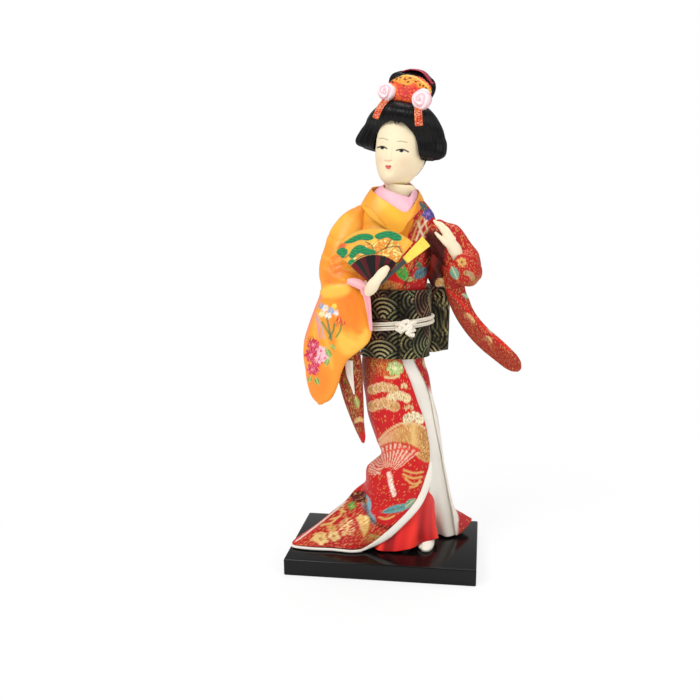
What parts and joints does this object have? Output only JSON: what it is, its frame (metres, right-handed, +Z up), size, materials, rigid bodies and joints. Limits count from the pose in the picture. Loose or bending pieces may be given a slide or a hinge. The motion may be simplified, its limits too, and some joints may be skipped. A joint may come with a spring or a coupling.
{
  "type": "geisha figurine",
  "caption": "Display doll in layered brocade robes with a tied sash, long sleeves and trailing hem, holding an open fan, fixed upright on a rectangular lacquered board.",
  "frame": {"origin": "centre of the board's underside, on the surface the figurine stands on", "axes": "+Z up, the doll faces -Y, +X is the viewer's right (the doll's left)"},
  "size_m": [0.1136, 0.062, 0.2406],
  "materials": {
    "board": "wood under gloss black lacquer",
    "sock": "moulded foot painted as a white split-toe sock",
    "wire": "plain drawn steel wire",
    "foam": "pressed rigid foam",
    "skin": "matt cream-white skin paint with painted features",
    "hair": "combed glossy black fibre set hard",
    "knot_ribbon": "magenta satin",
    "hair_cloth": "orange and red printed crepe with a gold rim",
    "hair_ribbon": "red and gold printed ribbon",
    "rose": "pale pink satin",
    "inner_collar": "pale pink satin",
    "orange_satin": "orange satin with embroidered flowers",
    "pink_satin": "rose pink satin lining",
    "red_brocade": "red satin brocade with woven gold, cream and green motifs",
    "white_satin": "off-white satin lining",
    "red_satin": "plain scarlet satin",
    "sash_brocade": "black brocade with woven gold waves",
    "cord": "plaited off-white cord",
    "fan_paper": "pleated gold fabric leaf with printed pines",
    "fan_sticks": "dark red-black lacquered sticks",
    "rivet": "plain brass"
  },
  "bodies": {
    "root": {"arm_wire_left": "wire", "arm_wire_right": "wire", "board": "board", "bodice": "red_brocade", "body_core": "foam", "cord_knot": "cord", "cord_lower": "cord", "cord_upper": "cord", "fan_guard_back": "fan_sticks", "fan_guard_front": "fan_sticks", "fan_leaf": "fan_paper", "fan_ribs": "fan_sticks", "fan_rivet": "rivet", "foot_left": "sock", "foot_right": "sock", "hair_cloth": "hair_cloth", "hair_ribbon_left": "hair_ribbon", "hair_ribbon_right": "hair_ribbon", "hand_left": "skin", "hand_right": "skin", "head": "skin", "hem_band": "white_satin", "inner_collar": "inner_collar", "kimono_skirt": "red_brocade", "knot_ribbon": "knot_ribbon", "left_sleeve": "red_brocade", "left_sleeve_drop": "red_brocade", "leg_wire_left": "wire", "leg_wire_right": "wire", "outer_collar": "orange_satin", "over_robe": "orange_satin", "over_sleeve": "orange_satin", "rose_left": "rose", "rose_right": "rose", "sash": "sash_brocade", "sash_bow": "sash_brocade", "skirt_lining": "white_satin", "sleeve_lining": "pink_satin", "topknot": "hair", "under_skirt": "red_satin", "under_sleeve_lining": "white_satin", "under_sleeve_right": "red_brocade", "wig": "hair"}
  },
  "joints": []
}
